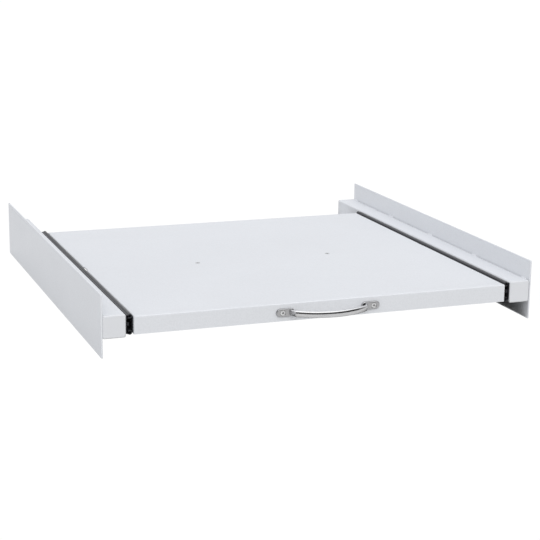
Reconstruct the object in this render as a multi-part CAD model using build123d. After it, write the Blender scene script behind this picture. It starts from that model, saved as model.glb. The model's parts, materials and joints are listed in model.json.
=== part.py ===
"""Stacking frame with a pull-out shelf: two side rails, joined by two cross straps, carry a folded
steel shelf on a pair of ball-bearing slides.

Millimetres. +X is to the right, +Y to the back and +Z up. The origin is on the floor, in the middle of
the overall box. Every left-hand piece is drawn once and mirrored for the right.
"""

from build123d import *
import os
from math import sqrt

# --- Driving dimensions -------------------------------------------------------------------------
appliance_gap = 600.0        # clear width between the two side plates
rail_length = 600.0          # side plates and rails, front to back
plate_thickness = 2.0
plate_below = 24.5           # side plate below the rail
plate_above = 27.5           # side plate above the rail
plate_corner = 1.5
plate_edge = 0.5

tube_size = 30.0             # square rail tube
tube_wall = 1.5
tube_corner = 2.5
cap_thickness = 3.0          # end cap flange, flush with the side plates' ends
cap_edge = 2.0
plug_depth = 14.0
plug_gap = 0.2
plug_wall = 1.8
tack_radius = 1.8
tack_length = 10.0
tack_inset = (0.6, 0.4)      # the bead's middle, from the plate's face and past the rail's flat face
tack_positions = (15.5, 158.5, 303.0, 446.5, 590.0)

strap_width = 40.0
strap_thickness = 1.5
strap_edge = 0.5
strap_gap = 0.1              # between each end and the rail
strap_front_edges = (60.0, 545.0)            # each strap's near edge, from the rails' front
strap_weld_size = 2.2

sheet = 1.2                  # shelf and stiffener sheet
shelf_proud = 3.0            # the shelf's front stands this far ahead of the rails
shelf_depth = 503.0
shelf_drop = 2.5             # the shelf's top below the rails' top
lip_height = 23.5
shelf_edge = 1.6             # outer bend radius
lip_return = 12.0
return_inset = 8.0           # the return's ends, from the shelf's sides
relief = (246.0, 264.0)      # relief nicks in the deck's side bends, from the rails' front
relief_depth = 1.7
relief_height = 8.0

stiffener_back = 241.0       # the stiffener's middle, from the rails' front
stiffener_width = 44.0
stiffener_depth = 16.0
stiffener_foot = 8.0
stiffener_bend = 1.6         # the bends' radius at the sheet's middle
stiffener_inset = 6.0        # its ends, from the shelf's sides
rivet_spacing = 200.0
rivet_radius = 2.0
rivet_head_radius = 3.6
rivet_head_height = 0.9      # countersunk into the deck
rivet_bore_radius = 1.1
rivet_bulb_radius = 2.9
rivet_bulb_length = 3.2
rivet_bulb_round = 0.9
seat_gap = 0.05              # round every countersunk head

slide_height = 27.0
slide_drop = 0.3             # the slides' top below the rails' top
slide_depth = 9.5            # from the rail's wall to the shelf's flange
slide_length = 500.0
slide_setback = 2.0          # the slides' front behind the rails' front
slide_travel = 350.0
slide_sheet = 1.2
channel_corner = 1.9
race_shoulder = 1.0          # the channel's flat top below the crown of its ball races
race_lip = 0.8               # the races' lips, inside the middles of the ball rows
ball_radius = 1.75
ball_gap = 0.05
ball_reach = 5.2             # the ball rows' distance from the rail's wall
runner_sheet = 1.1
runner_bend = 0.8            # its inner corners
runner_edge = 0.4
runner_start = 3.05          # the runner's nearest edge to the rail's wall
runner_shoulder = 1.0        # the runner's top edge inside the middle of the ball row
runner_back = 487.0          # the runner's back end, from the rails' front
stop_tab = (4.0, 6.0)        # tab bent out of the channel's web, from the rails' front
stop_tab_reach = 4.6
stop_tab_half = 2.0
channel_screw_positions = (35.0, 165.0, 340.0, 470.0)
runner_screw_positions = (30.0, 180.0, 400.0, 465.0)

cage_sheet = 0.5
cage_layer = (2.4, 6.7)      # the cage's depth, from the rail's wall
cage_rim = 0.3               # the cage's flange past the middle of the ball row
cage_flange = 0.6
cage_pocket_gap = 0.12
cage_end = 6.0               # from the cage's end to its first ball
cage_length = 140.0
cage_start = 182.0           # from the rails' front, with the shelf closed
balls_per_row = 9

bumper_start = 488.0         # from the rails' front
bumper_length = 12.0
bumper_height = 17.2
bumper_layer = (1.3, 7.4)    # from the rail's wall
bumper_edge = 1.5
bumper_pocket = (3.2, 4.0, 4.5)              # its floor, its front wall and its half height

lever_pivot = slide_travel - 42.0            # from the rails' front
lever_layer = (5.6, 7.1)     # its thickness, from the rail's wall
lever_outline = ((-56.0, 2.2), (-34.0, 2.6), (0.0, 3.2), (52.0, 1.4))  # y from the pivot, half height
catch_start = 3.2            # the catch behind the stop tab, from the rail's wall
catch_length = 2.6
catch_half = 1.2
grip_ribs = 5
grip_rib_pitch = 3.2
grip_rib_width = 1.4
grip_rib_height = 0.5
grip_rib_half = 1.9
pin_radius = 1.5
pin_gap = 0.05
pin_head = (4.9, 5.5, 2.4)   # start and end from the rail's wall, and radius
pin_collar = (7.2, 2.6)      # start from the rail's wall, and radius

handle_spacing = 128.0       # between the screws
handle_reach = 30.0          # ahead of the shelf's lip
pad_ends = (47.0, 72.5)      # each pad's ends, from the handle's middle
pad_height = 10.4
pad_thickness = 3.0
pad_round = 1.2
grip_section = (8.2, 4.4)    # the oval grip's height and depth
leg_foot = 53.5              # the legs' feet, from the handle's middle
leg_top = (49.0, 12.0)       # the legs' tops, from the handle's middle and ahead of the lip
leg_bend = 5.0

screw_radius = 2.0           # every M4 screw
screw_clearance = 0.1
recess_width = 0.9
recess_length = 1.1          # of a pan head's radius
pan_recess = 0.6             # the recess's depth in a pan head, of its height
pan_round = 0.55             # the rounding of a pan head's rim, of its height
nut_flats = 7.0
nut_height = 2.4
channel_screw_head = (3.4, 1.0)              # radius and height
channel_screw_length = 9.0
runner_screw_head = (3.5, 2.0)
runner_screw_length = 6.5
raised_head_radius = 3.5
raised_head_height = 0.8
raised_head_sink = 0.5       # the head's rim below the pad's face
handle_screw_length = 7.5

# --- Derived places -----------------------------------------------------------------------------
plate_height = plate_below + tube_size + plate_above
rail_front = -(rail_length - shelf_proud - handle_reach) / 2
rail_back = rail_front + rail_length
rail_bottom = plate_below
rail_top = rail_bottom + tube_size
rail_middle = rail_bottom + tube_size / 2
plate_face = appliance_gap / 2               # the side plate's inner face
tube_face = plate_face - tube_size           # the rail's wall that carries the slide
shelf_side = tube_face - slide_depth         # the shelf flange's outer face
shelf_front = rail_front - shelf_proud
shelf_back = shelf_front + shelf_depth
shelf_top = rail_top - shelf_drop
shelf_bottom = shelf_top - lip_height
lip_middle = (shelf_top + shelf_bottom) / 2
channel_front = rail_front + slide_setback
channel_back = channel_front + slide_length
slide_middle = rail_top - slide_drop - slide_height / 2
ball_space = ball_radius + ball_gap
ball_height = slide_height / 2 - slide_sheet - ball_space  # the ball rows' distance from slide_middle

os.makedirs("parts", exist_ok=True)


# --- Helpers ------------------------------------------------------------------------------------
def save(name, *pieces):
    """One STEP file for one node; several pieces stay separate solids."""
    shape = pieces[0] if len(pieces) == 1 else Compound(children=list(pieces))
    shape.label = name
    export_step(shape, f"parts/{name}.step")


def save_pair(name, *left_pieces):
    """The left-hand node as drawn, and its mirror image as the right-hand node."""
    save(f"left_{name}", *left_pieces)
    save(f"right_{name}", *[mirror(piece, about=Plane.YZ) for piece in left_pieces])


def block(x0, x1, y0, y1, z0, z1):
    """A box between two corners."""
    return Pos((x0 + x1) / 2, (y0 + y1) / 2, (z0 + z1) / 2) * Box(x1 - x0, y1 - y0, z1 - z0)


def along_y(profile, y0, y1):
    """An X-Z profile extruded from y0 to y1."""
    return extrude(Plane.XZ.offset(-y1) * profile, amount=y1 - y0)


def area(x0, x1, z0, z1, radius=0.0):
    """A rectangle, rounded or not, for an X-Z profile."""
    size = (x1 - x0, z1 - z0)
    shape = RectangleRounded(*size, radius) if radius else Rectangle(*size)
    return Pos((x0 + x1) / 2, (z0 + z1) / 2) * shape


def rod(start, direction, length, radius):
    """A round bar from a point along a direction."""
    plane = Plane(origin=start, z_dir=direction)
    return extrude(plane * Circle(radius), amount=length)


def taper(start, direction, length, start_radius, end_radius):
    """A conical bar from a point along a direction."""
    cone = Cone(start_radius, end_radius, length, align=(Align.CENTER, Align.CENTER, Align.MIN))
    return Plane(origin=start, z_dir=direction).location * cone


def hex_nut(start, direction):
    """An M4 nut whose near face is at start, with chamfered corners."""
    plane = Plane(origin=start, z_dir=direction)
    body = extrude(plane * RegularPolygon(nut_flats / sqrt(3), 6), amount=nut_height)
    round_off = taper(start, direction, nut_height, nut_flats / 2 + nut_height, nut_flats / 2 + 0.1)
    return (body & round_off) - rod(start, direction, nut_height, screw_radius + screw_clearance)


def cross_recess(top, direction, radius, depth):
    """Cutter for a cross recess from a head's top along the screw."""
    plane = Plane(origin=top, z_dir=direction)
    slot = extrude(plane * Rectangle(radius, recess_width), amount=depth)
    return slot + extrude(plane * Rectangle(recess_width, radius), amount=depth)


def screw(seat, direction, length, head):
    """A pan-headed screw: its head stands on seat and its shank runs along direction."""
    head_radius, head_height = head
    inward = Vector(*direction)
    top = Vector(*seat) - inward * head_height
    pan = rod(top, direction, head_height, head_radius)
    rim = pan.edges().filter_by(GeomType.CIRCLE).sort_by(Axis(top, direction))[0]
    pan = fillet(rim, head_height * pan_round)
    shank = rod(seat, direction, length, screw_radius)
    return pan + shank - cross_recess(top, direction, head_radius * recess_length, head_height * pan_recess)


def raised_screw(rim, direction, length):
    """A raised countersunk screw: rim is the middle of its head's edge."""
    inward = Vector(*direction)
    top = Vector(*rim) - inward * raised_head_height
    crown = (raised_head_radius**2 + raised_head_height**2) / (2 * raised_head_height)
    dome = rod(top, direction, raised_head_height, raised_head_radius)
    dome &= Pos(*(top + inward * crown)) * Sphere(crown)
    cone_length = raised_head_radius - screw_radius
    cone = taper(rim, direction, cone_length, raised_head_radius, screw_radius)
    shank = rod(rim, direction, length, screw_radius)
    return dome + cone + shank - cross_recess(top, direction, raised_head_radius, 2 * raised_head_height)


def slide_area(x0, x1, z0, z1, radius=0.0):
    """A left-hand slide profile: x from the rail's wall towards the shelf, z from the slide's middle."""
    return area(x0 - tube_face, x1 - tube_face, slide_middle + z0, slide_middle + z1, radius)


def slide_block(x0, x1, y0, y1, z0, z1):
    """A left-hand slide detail, with y from the rails' front."""
    return block(
        x0 - tube_face, x1 - tube_face, rail_front + y0, rail_front + y1, slide_middle + z0, slide_middle + z1
    )


def slide_point(x, y, z=0.0):
    """A left-hand slide place, measured as slide_block measures."""
    return Vector(x - tube_face, rail_front + y, slide_middle + z)


# --- Side rails ---------------------------------------------------------------------------------
def side_plate():
    """Flat plate that grips the sides of the appliances above and below the rail."""
    plate = block(-plate_face - plate_thickness, -plate_face, rail_front, rail_back, 0, plate_height)
    plate = fillet(plate.edges().filter_by(Axis.X), plate_corner)
    return fillet(plate.edges(), plate_edge)


def tube_outline(shrink=0.0):
    """The rail's square section, or its bore when shrunk by the wall."""
    return area(
        -plate_face + shrink,
        -tube_face - shrink,
        rail_bottom + shrink,
        rail_top - shrink,
        tube_corner - shrink * 0.9,
    )


def rail_tube():
    """Square tube with pilot holes for the slide's screws."""
    front, back = rail_front + cap_thickness, rail_back - cap_thickness
    tube = along_y(tube_outline() - tube_outline(tube_wall), front, back)
    for y in channel_screw_positions:
        tube -= rod(slide_point(-2 * tube_wall, y), (1, 0, 0), 4 * tube_wall, screw_radius + screw_clearance)
    return tube


def end_cap(outer_y, inward):
    """Plastic cap: a rounded flange over the tube's end and a hollow ribbed plug inside it."""
    inner_y = outer_y + inward * cap_thickness
    tip_y = inner_y + inward * plug_depth
    flange = along_y(tube_outline(), min(outer_y, inner_y), max(outer_y, inner_y))
    face = flange.faces().sort_by(Axis.Y)[0 if inward > 0 else -1]
    flange = fillet(face.edges(), cap_edge)
    outside = tube_outline(tube_wall + plug_gap)
    inset = tube_wall + plug_gap + plug_wall
    x0, x1 = -plate_face + inset, -tube_face - inset
    hollow = area(x0, x1, rail_bottom + inset, rail_top - inset)
    rib = area(x0, x1, rail_middle - plug_wall / 2, rail_middle + plug_wall / 2)
    return flange + along_y(outside - hollow + rib, min(inner_y, tip_y), max(inner_y, tip_y))


def tack_welds():
    """Short beads in the grooves between the plate and the tube's rounded corners."""
    solid_rail = along_y(tube_outline(), rail_front, rail_back)
    keep = block(-plate_face, -tube_face, rail_front, rail_back, 0, plate_height)
    beads = []
    for y in tack_positions:
        for corner, outward in ((rail_top, 1), (rail_bottom, -1)):
            x, z = -plate_face + tack_inset[0], corner - outward * tack_inset[1]
            y0 = rail_front + y - tack_length / 2
            bead = rod((x, y0, z), (0, 1, 0), tack_length, tack_radius)
            bead += Pos(x, y0, z) * Sphere(tack_radius)
            bead += Pos(x, y0 + tack_length, z) * Sphere(tack_radius)
            beads.append(max(((bead & keep) - solid_rail).solids(), key=lambda solid: solid.volume))
    return beads


# --- Cross straps -------------------------------------------------------------------------------
def cross_strap(front_edge):
    """Flat strap with rounded long edges that joins the two rails below the shelf."""
    half = tube_face - strap_gap
    y0 = rail_front + front_edge
    strap = block(-half, half, y0, y0 + strap_width, rail_bottom, rail_bottom + strap_thickness)
    return fillet(strap.edges().filter_by(Axis.X), strap_edge)


def strap_welds(front_edge):
    """Butt beads between a strap's two ends and the rails' lower inner corners."""
    y0 = rail_front + front_edge
    wedge = area(
        -tube_face - strap_weld_size, -tube_face + strap_gap,
        rail_bottom + strap_gap, rail_bottom + strap_thickness,
    )
    left = along_y(wedge - tube_outline(), y0 + 2 * strap_edge, y0 + strap_width - 2 * strap_edge)
    return [left, mirror(left, about=Plane.YZ)]


# --- Slides -------------------------------------------------------------------------------------
def race_circles(radius):
    """Circles about the two ball rows, in the left-hand slide's section."""
    heights = (slide_middle - ball_height, slide_middle + ball_height)
    return [Pos(ball_reach - tube_face, z) * Circle(radius) for z in heights]


def slide_channel():
    """Fixed C channel that curls round the balls, with screw holes and a front tab that stops the shelf."""
    outside = slide_height / 2 - race_shoulder
    inside = outside - slide_sheet
    mouth = ball_height - race_lip
    shell = slide_area(0, ball_reach, -outside, outside, channel_corner)
    shell -= slide_area(slide_sheet, slide_depth, -inside, inside)
    races = Sketch() + race_circles(ball_space + slide_sheet)
    races -= slide_area(0, ball_reach, -inside, inside)
    races -= slide_area(ball_reach, slide_depth, -mouth, mouth)
    profile = shell + races - race_circles(ball_space)
    channel = along_y(profile, channel_front, channel_back)
    channel += slide_block(slide_sheet / 2, stop_tab_reach, *stop_tab, -stop_tab_half, stop_tab_half)
    for y in channel_screw_positions:
        hole = rod(slide_point(-slide_sheet, y), (1, 0, 0), 3 * slide_sheet, screw_radius + screw_clearance)
        channel -= hole
    return channel


def channel_screws():
    """Low-headed screws through the channel's web into the rail."""
    return [
        screw(slide_point(slide_sheet, y), (-1, 0, 0), channel_screw_length, channel_screw_head)
        for y in channel_screw_positions
    ]


def rear_bumper():
    """Hollowed rubber block in the channel's back end that the runner closes against."""
    floor, wall, pocket_half = bumper_pocket
    half, end = bumper_height / 2, bumper_start + bumper_length
    bumper = slide_block(*bumper_layer, bumper_start, end, -half, half)
    bumper = fillet(bumper.edges().filter_by(Axis.X), bumper_edge)
    return bumper - slide_block(floor, slide_depth, bumper_start + wall, end + 1, -pocket_half, pocket_half)


def ball_places():
    """The middle of every ball."""
    pitch = (cage_length - 2 * cage_end) / (balls_per_row - 1)
    rows = (-ball_height, ball_height)
    first = cage_start + cage_end
    return [slide_point(ball_reach, first + i * pitch, z) for i in range(balls_per_row) for z in rows]


def ball_cage():
    """Thin C strip that keeps both rows of balls apart, with an open pocket for each ball."""
    near, far = cage_layer
    half = ball_height + cage_rim
    inside = half - cage_flange
    profile = slide_area(near, far, -half, half) - slide_area(near + cage_sheet, slide_depth, -inside, inside)
    y0 = rail_front + cage_start
    cage = along_y(profile, y0, y0 + cage_length)
    for place in ball_places():
        cage -= rod(place - Vector(0, 0, 1), (0, 0, 1), 2, ball_radius + cage_pocket_gap)
    return cage


def bearing_balls():
    """Steel balls in two rows."""
    return [Pos(*place) * Sphere(ball_radius) for place in ball_places()]


def slide_runner():
    """Inner member: a web against the shelf's flange and a grooved race over each row of balls."""
    outside = ball_height - runner_shoulder
    inside = outside - runner_sheet
    hollow = slide_area(0, slide_depth - runner_sheet, -inside, inside, runner_bend)
    hollow -= race_circles(ball_space + runner_sheet)
    outline = slide_area(runner_start, slide_depth, -outside, outside, runner_edge)
    runner = along_y(outline - hollow - race_circles(ball_space), channel_front, rail_front + runner_back)
    for y in runner_screw_positions:
        start = slide_point(slide_depth - 2 * runner_sheet, y)
        runner -= rod(start, (1, 0, 0), 3 * runner_sheet, screw_radius + screw_clearance)
    return runner


def runner_screws():
    """Screws through the runner's web and the shelf's flange."""
    return [
        screw(slide_point(slide_depth - runner_sheet, y), (1, 0, 0), runner_screw_length, runner_screw_head)
        for y in runner_screw_positions
    ]


def runner_nuts():
    """Nuts on the inside of the shelf's flange."""
    return [hex_nut(slide_point(slide_depth + sheet, y), (1, 0, 0)) for y in runner_screw_positions]


def release_lever():
    """Plastic lever in the runner: a tapered bar with a ribbed finger pad in front and a catch behind."""
    near, far = lever_layer
    upper = [slide_point(near, lever_pivot + y, half) for y, half in lever_outline]
    lower = [slide_point(near, lever_pivot + y, -half) for y, half in reversed(lever_outline)]
    bar = extrude(make_face(Polyline(*upper, *lower, close=True)), amount=far - near, dir=(1, 0, 0))
    back = lever_pivot + lever_outline[-1][0]
    bar += slide_block(catch_start, near + 0.3, back - catch_length, back, -catch_half, catch_half)
    for rib in range(grip_ribs):
        y = lever_pivot + lever_outline[0][0] + grip_rib_width + grip_rib_pitch * rib
        bar += slide_block(
            near - grip_rib_height, near + 0.2, y, y + grip_rib_width, -grip_rib_half, grip_rib_half
        )
    return bar - rod(slide_point(near - 1, lever_pivot), (1, 0, 0), far - near + 2, pin_radius + pin_gap)


def lever_pin():
    """Shouldered rivet on the runner's web that the lever turns on."""
    head_start, head_end, head_radius = pin_head
    collar_start, collar_radius = pin_collar
    web = slide_depth - runner_sheet
    head = rod(slide_point(head_start, lever_pivot), (1, 0, 0), head_end - head_start, head_radius)
    neck = rod(slide_point(head_start, lever_pivot), (1, 0, 0), web - head_start, pin_radius)
    collar = rod(slide_point(collar_start, lever_pivot), (1, 0, 0), web - collar_start, collar_radius)
    return head + neck + collar


# --- Shelf --------------------------------------------------------------------------------------
def folded_block(inset):
    """The tray's outer or, when inset by the sheet, inner form: a block with rounded sides and top."""
    side, bend = shelf_side - inset, shelf_edge - inset
    form = block(
        -side, side, shelf_front + inset, shelf_back - inset, shelf_bottom - inset, shelf_top - inset
    )
    form = fillet(form.edges().filter_by(Axis.Z), bend)
    return fillet(form.faces().sort_by(Axis.Z)[-1].edges(), bend - 0.01)


def shelf_tray():
    """Folded tray: a flat deck, four flanges with ground corners and a return under the front lip."""
    tray = folded_block(0) - folded_block(sheet)
    return_half = shelf_side - return_inset
    tray += block(
        -return_half, return_half, shelf_front + sheet / 2, shelf_front + lip_return,
        shelf_bottom, shelf_bottom + sheet,
    )
    for side in (-1, 1):
        tray -= rivet_hole(side)
        nick = block(
            shelf_side - relief_depth, shelf_side + 1, rail_front + relief[0], rail_front + relief[1],
            shelf_top - relief_height, shelf_top + 1,
        )
        tray -= nick if side > 0 else mirror(nick, about=Plane.YZ)
        start = (side * handle_spacing / 2, shelf_front - 1, lip_middle)
        tray -= rod(start, (0, 1, 0), 3 * sheet, screw_radius + screw_clearance)
        for y in runner_screw_positions:
            start = (side * shelf_side - 2 * sheet, rail_front + y, slide_middle)
            tray -= rod(start, (1, 0, 0), 4 * sheet, screw_radius + screw_clearance)
    return tray


def rivet_top(side):
    """Middle of a rivet, level with the deck's upper face."""
    return Vector(side * rivet_spacing / 2, rail_front + stiffener_back, shelf_top)


def countersink(side, gap=0.0):
    """A rivet's conical head, or its seat in the deck when grown by the gap."""
    return taper(rivet_top(side), (0, 0, -1), rivet_head_height, rivet_head_radius + gap, rivet_radius + gap)


def rivet_hole(side):
    """Cutter for a rivet's hole through the deck and the stiffener's web."""
    bore = rod(rivet_top(side) + Vector(0, 0, 1), (0, 0, -1), 4 * sheet, rivet_radius + seat_gap)
    return bore + countersink(side, seat_gap)


def stiffener():
    """Hat section across the underside of the deck, its web up and its feet turned outwards."""
    half, depth = stiffener_width / 2, stiffener_depth
    left = [(-half - stiffener_foot, -depth), (-half, -depth), (-half, 0)]
    line = FilletPolyline(*left, *[(-y, z) for y, z in reversed(left)], radius=stiffener_bend)
    length = 2 * (shelf_side - stiffener_inset)
    end = (-length / 2, rail_front + stiffener_back, shelf_top - 1.5 * sheet)
    channel = extrude(Plane(origin=end, x_dir=(0, 1, 0), z_dir=(1, 0, 0)) * trace(line, sheet), amount=length)
    for side in (-1, 1):
        channel -= rivet_hole(side)
    return channel


def stiffener_rivets():
    """Blind rivets: a flush countersunk head, a hollow shank and a set bulb under the stiffener."""
    rivets = []
    for side in (-1, 1):
        top = rivet_top(side)
        bulb = rod(top - Vector(0, 0, 2 * sheet), (0, 0, -1), rivet_bulb_length, rivet_bulb_radius)
        bulb = fillet(bulb.edges().filter_by(GeomType.CIRCLE), rivet_bulb_round)
        bore = rod(top + Vector(0, 0, 1), (0, 0, -1), 1 + 1.3 * sheet, rivet_bore_radius)
        rivets.append(countersink(side) + rod(top, (0, 0, -1), 3 * sheet, rivet_radius) + bulb - bore)
    return rivets


# --- Handle -------------------------------------------------------------------------------------
def handle_pad():
    """The left pad: a round-ended plate with a rounded front and a sunk seat for its screw."""
    inner, outer = pad_ends
    middle = (-(inner + outer) / 2, shelf_front, lip_middle)
    front = Plane(origin=middle, x_dir=(1, 0, 0), z_dir=(0, -1, 0))
    pad = extrude(front * SlotOverall(outer - inner, pad_height), amount=pad_thickness)
    pad = fillet(pad.faces().sort_by(Axis.Y)[0].edges(), pad_round)
    seat = (-handle_spacing / 2, shelf_front - pad_thickness, lip_middle)
    seat_radius = raised_head_radius + raised_head_sink + seat_gap
    pad -= taper(seat, (0, 1, 0), seat_radius - screw_radius, seat_radius, screw_radius)
    return pad - rod(seat, (0, 1, 0), pad_thickness, screw_radius + screw_clearance)


def handle_bar():
    """The legs and the arched grip: one bent bar of oval section."""
    height, depth = grip_section
    left = [(-leg_foot, pad_thickness / 2), (-leg_top[0], leg_top[1])]
    right = [(-x, reach) for x, reach in reversed(left)]
    arch = ThreePointArc(left[-1], (0, handle_reach - depth / 2), right[0])
    line = Polyline(*left) + arch + Polyline(*right)
    corners = line.vertices().filter_by(lambda corner: abs(corner.Y - leg_top[1]) < 0.01)
    above = Plane(origin=(0, shelf_front, lip_middle), x_dir=(1, 0, 0), z_dir=(0, 0, -1))
    path = above * fillet(corners, leg_bend)
    section = Plane(origin=path @ 0, x_dir=(0, 0, 1), z_dir=path % 0) * Ellipse(height / 2, depth / 2)
    return sweep(section, path=path)


def handle():
    """Bow handle: an oval bar between two flat pads."""
    pad = handle_pad()
    return handle_bar() + pad + mirror(pad, about=Plane.YZ)


def handle_screws():
    """Raised countersunk screws through the pads and the shelf's lip."""
    rim_y = shelf_front - pad_thickness + raised_head_sink
    return [
        raised_screw((side * handle_spacing / 2, rim_y, lip_middle), (0, 1, 0), handle_screw_length)
        for side in (-1, 1)
    ]


def handle_nuts():
    """Nuts behind the shelf's lip."""
    half = handle_spacing / 2
    return [hex_nut((x, shelf_front + sheet, lip_middle), (0, 1, 0)) for x in (-half, half)]


# --- Nodes --------------------------------------------------------------------------------------
save_pair("side_plate", side_plate())
save_pair("rail_tube", rail_tube())
save_pair("front_end_cap", end_cap(rail_front, 1))
save_pair("rear_end_cap", end_cap(rail_back, -1))
save_pair("tack_welds", *tack_welds())

save("front_cross_strap", cross_strap(strap_front_edges[0]))
save("rear_cross_strap", cross_strap(strap_front_edges[1]))
save("cross_strap_welds", *[bead for edge in strap_front_edges for bead in strap_welds(edge)])

save_pair("slide_channel", slide_channel())
save_pair("channel_screws", *channel_screws())
save_pair("rear_bumper", rear_bumper())
save_pair("ball_cage", ball_cage())
save_pair("bearing_balls", *bearing_balls())
save_pair("slide_runner", slide_runner())
save_pair("runner_screws", *runner_screws())
save_pair("runner_nuts", *runner_nuts())
save_pair("release_lever", release_lever())
save_pair("lever_pin", lever_pin())

save("shelf_tray", shelf_tray())
save("deck_stiffener", stiffener())
save("stiffener_rivets", *stiffener_rivets())

save("handle", handle())
save("handle_screws", *handle_screws())
save("handle_nuts", *handle_nuts())
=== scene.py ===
import json
import math

import bpy
from mathutils import Matrix, Vector


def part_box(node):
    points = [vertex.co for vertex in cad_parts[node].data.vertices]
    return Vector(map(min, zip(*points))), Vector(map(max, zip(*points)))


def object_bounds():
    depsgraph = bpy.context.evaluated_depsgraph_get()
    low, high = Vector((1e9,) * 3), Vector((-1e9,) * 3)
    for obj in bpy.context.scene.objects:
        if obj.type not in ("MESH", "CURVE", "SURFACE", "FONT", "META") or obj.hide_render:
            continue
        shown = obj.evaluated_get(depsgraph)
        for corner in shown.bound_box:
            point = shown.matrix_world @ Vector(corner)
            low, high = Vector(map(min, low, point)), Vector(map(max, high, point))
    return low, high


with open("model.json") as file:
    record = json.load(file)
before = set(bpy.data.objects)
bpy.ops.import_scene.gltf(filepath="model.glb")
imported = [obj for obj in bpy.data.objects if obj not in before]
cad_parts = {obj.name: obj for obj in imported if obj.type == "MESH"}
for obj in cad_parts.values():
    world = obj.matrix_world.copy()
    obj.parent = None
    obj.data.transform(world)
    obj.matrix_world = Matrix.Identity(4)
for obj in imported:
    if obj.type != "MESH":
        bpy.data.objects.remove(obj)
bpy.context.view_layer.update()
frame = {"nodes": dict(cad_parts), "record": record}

# Lengths are in metres, colours are linear, and the object's places come from the frame's boxes.
SHELF_WHITE = (0.775, 0.79, 0.815)
RAIL_WHITE = (0.79, 0.805, 0.832)
CAP_WHITE = (0.745, 0.755, 0.775)
WHITE_LOW = 0.975  # the darkest patch of a white surface, as a share of its colour
STREAK_LOW = 0.85  # the darkest streak of a streaked material, as a share of its colour
NOISE_MIDDLE = (0.3, 0.7)  # nearly all of a noise's values lie between these

# How open a face is, from 0 to 1, where the painted shade of a recess is full and where it ends.
OPEN_EDGE = (0.25, 0.85)
OPEN_SAMPLES = 8

# Powder coat: the sizes of its patches, dimples and grain, and the depths of the last two.
TONE_PATCH, GLOSS_PATCH, DIMPLE, GRAIN = 0.16, 0.05, 0.0022, 0.0006
DIMPLE_DEPTH, GRAIN_DEPTH = 0.0001, 0.000025
# Painted shade in the hollows of the orange-peel dimples: its darkest share of the colour, and
# where along the dimple noise it fades out.
DIMPLE_PAINTED_SHADE = 0.97
DIMPLE_EDGE = (0.35, 0.6)
PAINT_ROUGHNESS = (0.36, 0.46)
# How far the painted shade in the powder coat's grooves reaches.
GROOVE_PAINTED_SHADE_REACH = 0.004

CAP_PATCH, CAP_GRAIN, CAP_GRAIN_DEPTH = 0.03, 0.00045, 0.000012
CAP_ROUGHNESS = (0.42, 0.52)

# Streaked materials: how deep a streak is, and its roughness as a share of the material's.
STREAK_DEPTH = 0.00001
STREAK_ROUGH, STREAK_SMOOTH = 1.25, 0.85

# The handle: its grip ends and a flat pad begins this far to each side of its middle.
PAD_EDGE = (0.049, 0.054)
GRIP_DARK, GRIP_LIGHT, PAD_METAL = (0.7, 0.7, 0.71), (0.82, 0.82, 0.83), (0.56, 0.56, 0.57)
GRIP_ROUGHNESS, PAD_ROUGHNESS = 0.17, 0.3
HANDLE_STREAK, HANDLE_STRETCH, HANDLE_STREAK_DEPTH = 0.0012, (25, 1, 1), 0.000008
# Painted shade in the handle's corners behind its legs: how far it reaches, and its darkest share
# of the colour.
HANDLE_PAINTED_SHADE_REACH, HANDLE_PAINTED_SHADE = 0.014, 0.1

# The floor: its glow, and its glow in reflections, from a painted shadow close by the object to
# clear of it.
FLOOR_SIZE = 120.0
FLOOR_GLOW = 1.03
REFLECTED_GLOW_PAINTED_SHADOW = (0.12, 0.72)
# How far the painted shadow in the floor's reflections reaches.
FLOOR_PAINTED_SHADOW_REACH = 0.12

# The shade cards: their height over the floor, and how much narrower they are than the frame.
CARD_GAP = 0.0005
CARD_INSET = 0.006

# The camera, fitted to corners of the object: its place, its yaw, pitch and roll in radians, and
# its lens and sensor in millimetres.
CAMERA_PLACE = (-0.723467, -1.989931, 0.548499)
CAMERA_YAW, CAMERA_PITCH, CAMERA_ROLL = 0.36039, -0.24264, 0.01405
CAMERA_LENS, CAMERA_SENSOR = 98.24, 36.0

# The studio's brightness by height, from straight down (0) to straight up (1).
SOFT_SKY = (
    (0.0, (0.41, 0.412, 0.418)), (0.46, (0.45, 0.45, 0.452)),
    (0.54, (0.58, 0.58, 0.58)), (1.0, (0.93, 0.945, 0.985)),
)
LEFT_FILL = (
    (0.0, (0.6, 0.6, 0.61)), (0.3, (0.95, 0.96, 0.98)), (0.5, (0.95, 0.96, 0.98)),
    (0.6, (0.76, 0.77, 0.79)), (1.0, (0.93, 0.945, 0.985)),
)
DARK_ROOM = (
    (0.0, (0.4, 0.4, 0.4)), (0.5, (0.3, 0.3, 0.3)), (0.535, (0.03, 0.03, 0.03)),
    (0.8, (0.03, 0.03, 0.03)), (0.87, (1.3, 1.3, 1.3)), (1.0, (1.5, 1.5, 1.5)),
)
BRIGHT_WALL = (
    (0.0, (0.4, 0.4, 0.4)), (0.46, (0.4, 0.4, 0.41)), (0.54, (0.68, 0.68, 0.68)),
    (0.75, (0.75, 0.76, 0.78)), (0.9, (1.4, 1.4, 1.42)), (1.0, (1.5, 1.5, 1.5)),
)
# Where one part of the studio fades into the next, by direction: X for the left, Y for behind.
LEFT_EDGE = (-0.4, -0.9)
WALL_EDGE = (-0.35, 0.1)


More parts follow.
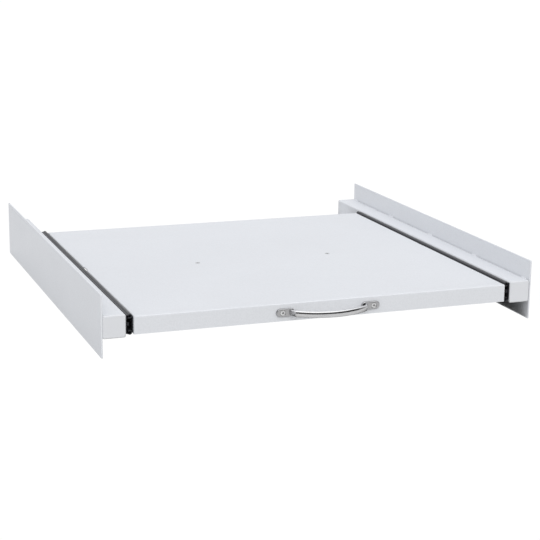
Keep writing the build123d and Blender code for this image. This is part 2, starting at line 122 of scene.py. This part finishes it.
# --- Materials -----------------------------------------------------------------------------------
class Shader:
    """A material's node tree, with short calls for the nodes that this scene uses."""

    def __init__(self, name):
        self.material = bpy.data.materials.new(name)
        self.material.use_nodes = True
        self.tree = self.material.node_tree
        self.surface = self.tree.nodes["Principled BSDF"]

    def node(self, kind, **values):
        made = self.tree.nodes.new(kind)
        for key, value in values.items():
            setattr(made, key, value)
        return made

    def link(self, output, socket):
        self.tree.links.new(output, socket)

    def feed(self, **outputs):
        """Links each output to the surface's input of that name."""
        for key, output in outputs.items():
            self.link(output, self.surface.inputs[key.replace("_", " ")])

    def set(self, **values):
        """Sets the surface's inputs to constant values."""
        for key, value in values.items():
            self.surface.inputs[key.replace("_", " ")].default_value = value

    def coordinates(self, scale=(1, 1, 1)):
        where = self.node("ShaderNodeTexCoord")
        mapping = self.node("ShaderNodeMapping")
        mapping.inputs["Scale"].default_value = scale
        self.link(where.outputs["Object"], mapping.inputs["Vector"])
        return mapping.outputs["Vector"]

    def noise(self, size, detail, stretch=(1, 1, 1)):
        """Noise whose features are about size metres across, stretched per axis."""
        made = self.node("ShaderNodeTexNoise")
        made.inputs["Scale"].default_value = 1.0
        made.inputs["Detail"].default_value = detail
        scale = [1.0 / (size * s) for s in stretch]
        self.link(self.coordinates(scale), made.inputs["Vector"])
        return made.outputs["Fac"]

    def ramp(self, factor, low, high):
        """A colour from low to high as a noise goes through its middle."""
        made = self.node("ShaderNodeValToRGB")
        for element, place, colour in zip(made.color_ramp.elements, NOISE_MIDDLE, (low, high)):
            element.position = place
            element.color = (*colour, 1)
        self.link(factor, made.inputs["Fac"])
        return made.outputs["Color"]

    def span(self, factor, low, high, edge=NOISE_MIDDLE):
        """A number from low to high as factor goes from one end of edge to the other."""
        made = self.node("ShaderNodeMapRange")
        made.inputs["From Min"].default_value, made.inputs["From Max"].default_value = edge
        made.inputs["To Min"].default_value = low
        made.inputs["To Max"].default_value = high
        self.link(factor, made.inputs["Value"])
        return made.outputs["Result"]

    def painted_recess_shade(self, reach, shade, edge=OPEN_EDGE):
        """A factor for painted shade: from shade in recesses to 1 on open faces, as far as reach
        metres can tell.
        """
        made = self.node("ShaderNodeAmbientOcclusion", samples=OPEN_SAMPLES)
        made.inputs["Distance"].default_value = reach
        return self.span(made.outputs["AO"], shade, 1.0, edge)

    def times(self, colour, factor):
        """A colour multiplied by a factor."""
        made = self.node("ShaderNodeMix", data_type="RGBA", blend_type="MULTIPLY")
        made.inputs["Factor"].default_value = 1.0
        self.link(colour, made.inputs["A"])
        self.link(factor, made.inputs["B"])
        return made.outputs["Result"]

    def bump(self, height, distance, under=None):
        made = self.node("ShaderNodeBump")
        made.inputs["Distance"].default_value = distance
        self.link(height, made.inputs["Height"])
        if under is not None:
            self.link(under, made.inputs["Normal"])
        return made.outputs["Normal"]


def scaled(colour, factor):
    return tuple(c * factor for c in colour)


def powder_coat(name, colour, painted_groove_shade=1.0):
    """White powder coat: orange peel, faint unevenness of tone and gloss, and painted shade in its
    grooves and in the hollows of its dimples.
    """
    shader = Shader(name)
    tone = shader.ramp(shader.noise(TONE_PATCH, 3), scaled(colour, WHITE_LOW), colour)
    # Painted shade in the grooves.
    tone = shader.times(tone, shader.painted_recess_shade(GROOVE_PAINTED_SHADE_REACH, painted_groove_shade))
    dimples = shader.noise(DIMPLE, 1)
    # Painted shade in the hollows of the dimples, from the same noise as their bumps.
    tone = shader.times(tone, shader.span(dimples, DIMPLE_PAINTED_SHADE, 1.0, DIMPLE_EDGE))
    gloss = shader.span(shader.noise(GLOSS_PATCH, 4), *PAINT_ROUGHNESS)
    peel = shader.bump(dimples, DIMPLE_DEPTH)
    peel = shader.bump(shader.noise(GRAIN, 2), GRAIN_DEPTH, under=peel)
    shader.feed(Base_Color=tone, Roughness=gloss, Normal=peel)
    return shader.material


def cap_plastic():
    """White moulded plastic with a fine spark-eroded grain."""
    shader = Shader("cap_plastic")
    tone = shader.ramp(shader.noise(CAP_PATCH, 3), scaled(CAP_WHITE, WHITE_LOW), CAP_WHITE)
    grain = shader.noise(CAP_GRAIN, 2)
    gloss = shader.span(grain, *CAP_ROUGHNESS)
    shader.feed(Base_Color=tone, Roughness=gloss, Normal=shader.bump(grain, CAP_GRAIN_DEPTH))
    return shader.material


def streaked(name, colour, roughness, size=0.004, stretch=(1, 1, 1), metallic=1.0, reach=0.0015,
             shade=0.35, edge=OPEN_EDGE):
    """Metal, plastic or rubber with streaks or mottling, and with painted shade in its recesses:
    less shine there, and on a metal a darker colour too."""
    shader = Shader(name)
    shader.set(Metallic=metallic)
    streak = shader.noise(size, 4, stretch)
    # Painted shade in recesses, used on the shine of every such material and on a metal's colour.
    recess = shader.painted_recess_shade(reach, shade, edge)
    tone = shader.ramp(streak, scaled(colour, STREAK_LOW), colour)
    if metallic:
        tone = shader.times(tone, recess)
    shine = shader.span(recess, 0.0, 0.5, (0.0, 1.0))
    gloss = shader.span(streak, roughness * STREAK_ROUGH, roughness * STREAK_SMOOTH)
    normal = shader.bump(streak, STREAK_DEPTH)
    shader.feed(Specular_IOR_Level=shine, Base_Color=tone, Roughness=gloss, Normal=normal)
    return shader.material


def handle_metal():
    """Bright metal: a polished grip, satin pads, and painted shade in the corners behind the legs.
    """
    shader = Shader("handle_metal")
    shader.set(Metallic=1.0)
    place = shader.node("ShaderNodeSeparateXYZ")
    shader.link(shader.coordinates(), place.inputs["Vector"])
    across = shader.node("ShaderNodeMath", operation="ABSOLUTE")
    shader.link(place.outputs["X"], across.inputs[0])
    on_pad = shader.span(across.outputs["Value"], 0.0, 1.0, PAD_EDGE)
    streak = shader.noise(HANDLE_STREAK, 4, HANDLE_STRETCH)
    tone = shader.node("ShaderNodeMix", data_type="RGBA")
    shader.link(on_pad, tone.inputs["Factor"])
    shader.link(shader.ramp(streak, GRIP_DARK, GRIP_LIGHT), tone.inputs["A"])
    tone.inputs["B"].default_value = (*PAD_METAL, 1)
    # Painted shade in the corners behind the legs.
    corner = shader.painted_recess_shade(HANDLE_PAINTED_SHADE_REACH, HANDLE_PAINTED_SHADE)
    shader.feed(
        Base_Color=shader.times(tone.outputs["Result"], corner),
        Roughness=shader.span(on_pad, GRIP_ROUGHNESS, PAD_ROUGHNESS, (0.0, 1.0)),
        Normal=shader.bump(streak, HANDLE_STREAK_DEPTH),
    )
    return shader.material


MATERIALS = {
    # Painted shade in the rail paint's grooves and seams.
    "rail_paint": powder_coat("rail_paint", RAIL_WHITE, painted_groove_shade=0.93),
    "shelf_paint": powder_coat("shelf_paint", SHELF_WHITE),
    "cap_plastic": cap_plastic(),
    # Painted shade reaching far into the slides' recesses, which dims their shine along the edges
    # beside the tube and the shelf.
    "slide_black": streaked("slide_black", (0.032, 0.033, 0.038), 0.3, size=0.003, metallic=0.0,
                            stretch=(1, 30, 1), reach=0.009, shade=0.2, edge=(0.76, 0.97)),
    "cage_steel": streaked("cage_steel", (0.55, 0.55, 0.54), 0.35, size=0.002, stretch=(1, 20, 1)),
    "ball_steel": streaked("ball_steel", (0.8, 0.8, 0.8), 0.12),
    "lever_plastic": streaked("lever_plastic", (0.02, 0.02, 0.02), 0.5, size=0.001, metallic=0.0),
    "bumper_rubber": streaked("bumper_rubber", (0.02, 0.02, 0.02), 0.7, size=0.002, metallic=0.0),
    # Painted shade that turns the screws' recesses nearly black.
    "fastener_steel": streaked("fastener_steel", (0.95, 0.95, 0.95), 0.4, metallic=0.5,
                               shade=0.05, edge=(0.55, 0.9)),
    "rivet_metal": streaked("rivet_metal", (0.6, 0.6, 0.61), 0.4),
    "handle_metal": handle_metal(),
}

# --- CAD nodes -----------------------------------------------------------------------------------
slots = {part["node"]: part["material_slot"] for part in frame["record"]["subparts"]}
for name, node in frame["nodes"].items():
    material = MATERIALS[slots[name]]
    if node.material_slots:
        for holder in node.material_slots:
            holder.material = material
    else:
        node.data.materials.append(material)

# --- Floor, light and camera ---------------------------------------------------------------------
low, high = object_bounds()


def floor():
    """A white table that glows, so that no shadow shows on it. Reflections of it carry a painted
    shadow near the object."""
    bpy.ops.mesh.primitive_plane_add(size=FLOOR_SIZE, location=(0, 0, low.z))
    plane = bpy.context.object
    plane.name = "studio_floor"
    shader = Shader("studio_floor")
    shader.set(Base_Color=(0, 0, 0, 1), Roughness=1.0, Specular_IOR_Level=0.0)
    shader.set(Emission_Color=(1, 1, 1, 1))
    rays = shader.node("ShaderNodeLightPath")
    # Painted shadow: reflections of the floor dim where the object closes it in.
    openness = shader.painted_recess_shade(FLOOR_PAINTED_SHADOW_REACH, 0.0)
    reflected_glow_with_painted_shadow = shader.span(openness, *REFLECTED_GLOW_PAINTED_SHADOW, edge=(0.0, 1.0))
    glow = shader.node("ShaderNodeMix")
    shader.link(rays.outputs["Is Glossy Ray"], glow.inputs["Factor"])
    glow.inputs["A"].default_value = FLOOR_GLOW
    shader.link(reflected_glow_with_painted_shadow, glow.inputs["B"])
    shader.feed(Emission_Strength=glow.outputs["Result"])
    plane.data.materials.append(shader.material)
    plane.visible_diffuse = False


def shade_cards():
    """Two black cards that only dim the light under the shelf: one on the table, and one upright
    between the table and the shelf's front lip."""
    shader = Shader("shade_card")
    shader.set(Base_Color=(0.0, 0.0, 0.0, 1), Roughness=1.0, Specular_IOR_Level=0.0)
    shelf_low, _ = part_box("shelf_tray")
    rail_low, rail_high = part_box("left_rail_tube")
    plate_low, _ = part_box("left_side_plate")
    under = Vector((0, (rail_low.y + rail_high.y) / 2, low.z + CARD_GAP))
    behind_lip = Vector((0, plate_low.y, (low.z + shelf_low.z) / 2))
    flat_size = (high.x - low.x - CARD_INSET, rail_high.y - rail_low.y - CARD_INSET)
    lip_size = (2 * abs(rail_high.x), shelf_low.z - low.z - 2 * CARD_GAP)
    for name, place, size, tilt in (
        ("table_card", under, flat_size, 0.0),
        ("lip_card", behind_lip, lip_size, math.pi / 2),
    ):
        bpy.ops.mesh.primitive_plane_add(size=1, location=place, rotation=(tilt, 0, 0))
        card = bpy.context.object
        card.name = name
        card.scale = (*size, 1)
        card.data.materials.append(shader.material)
        card.visible_camera = card.visible_glossy = False


def camera():
    data = bpy.data.cameras.new("camera")
    data.lens = CAMERA_LENS
    data.sensor_width = CAMERA_SENSOR
    eye = bpy.data.objects.new("camera", data)
    level = math.cos(CAMERA_PITCH)
    right = Vector((math.cos(CAMERA_YAW), -math.sin(CAMERA_YAW), 0))
    forward = Vector((
        math.sin(CAMERA_YAW) * level, math.cos(CAMERA_YAW) * level, math.sin(CAMERA_PITCH),
    ))
    up = right.cross(forward)
    across = math.cos(CAMERA_ROLL) * right + math.sin(CAMERA_ROLL) * up
    upright = -math.sin(CAMERA_ROLL) * right + math.cos(CAMERA_ROLL) * up
    turn = Matrix((across, upright, -forward)).transposed().to_4x4()
    eye.matrix_world = Matrix.Translation(CAMERA_PLACE) @ turn
    bpy.context.scene.collection.objects.link(eye)
    bpy.context.scene.camera = eye


def sun(name, toward, strength, softness):
    """A large soft lamp, softness degrees wide, that only matt surfaces see."""
    data = bpy.data.lights.new(name, "SUN")
    data.energy = strength
    data.angle = math.radians(softness)
    lamp = bpy.data.objects.new(name, data)
    lamp.rotation_euler = Vector(toward).to_track_quat("-Z", "Y").to_euler()
    lamp.visible_glossy = False
    bpy.context.scene.collection.objects.link(lamp)


def sky():
    """A soft studio: bright overhead, dim below, with a fill at the left. Glossy surfaces see a
    dark room in front and a bright wall behind instead."""
    world = bpy.data.worlds.new("studio")
    world.use_nodes = True
    tree = world.node_tree
    background = tree.nodes["Background"]
    where = tree.nodes.new("ShaderNodeTexCoord")
    parts = tree.nodes.new("ShaderNodeSeparateXYZ")
    tree.links.new(where.outputs["Generated"], parts.inputs["Vector"])

    def between(output, start, end):
        """A number from 0 to 1 as output goes from start to end."""
        made = tree.nodes.new("ShaderNodeMapRange")
        made.inputs["From Min"].default_value = start
        made.inputs["From Max"].default_value = end
        tree.links.new(output, made.inputs["Value"])
        return made.outputs["Result"]

    def ramp(output, stops):
        made = tree.nodes.new("ShaderNodeValToRGB")
        while len(made.color_ramp.elements) < len(stops):
            made.color_ramp.elements.new(0.5)
        for element, (place, colour) in zip(made.color_ramp.elements, stops):
            element.position = place
            element.color = (*colour, 1)
        tree.links.new(output, made.inputs["Fac"])
        return made.outputs["Color"]

    def mix(factor, first, second):
        made = tree.nodes.new("ShaderNodeMix")
        made.data_type = "RGBA"
        tree.links.new(factor, made.inputs["Factor"])
        tree.links.new(first, made.inputs["A"])
        tree.links.new(second, made.inputs["B"])
        return made.outputs["Result"]

    height = between(parts.outputs["Z"], -1, 1)
    at_left = between(parts.outputs["X"], *LEFT_EDGE)
    matt = mix(at_left, ramp(height, SOFT_SKY), ramp(height, LEFT_FILL))
    at_back = between(parts.outputs["Y"], *WALL_EDGE)
    gloss = mix(at_back, ramp(height, DARK_ROOM), ramp(height, BRIGHT_WALL))
    rays = tree.nodes.new("ShaderNodeLightPath")
    seen = mix(rays.outputs["Is Glossy Ray"], matt, gloss)
    tree.links.new(seen, background.inputs["Color"])
    bpy.context.scene.world = world


floor()
shade_cards()
sun("front_light", toward=(0.1, 0.8, -0.58), strength=1.1, softness=60)
camera()
sky()
bpy.context.scene.view_settings.view_transform = "Standard"
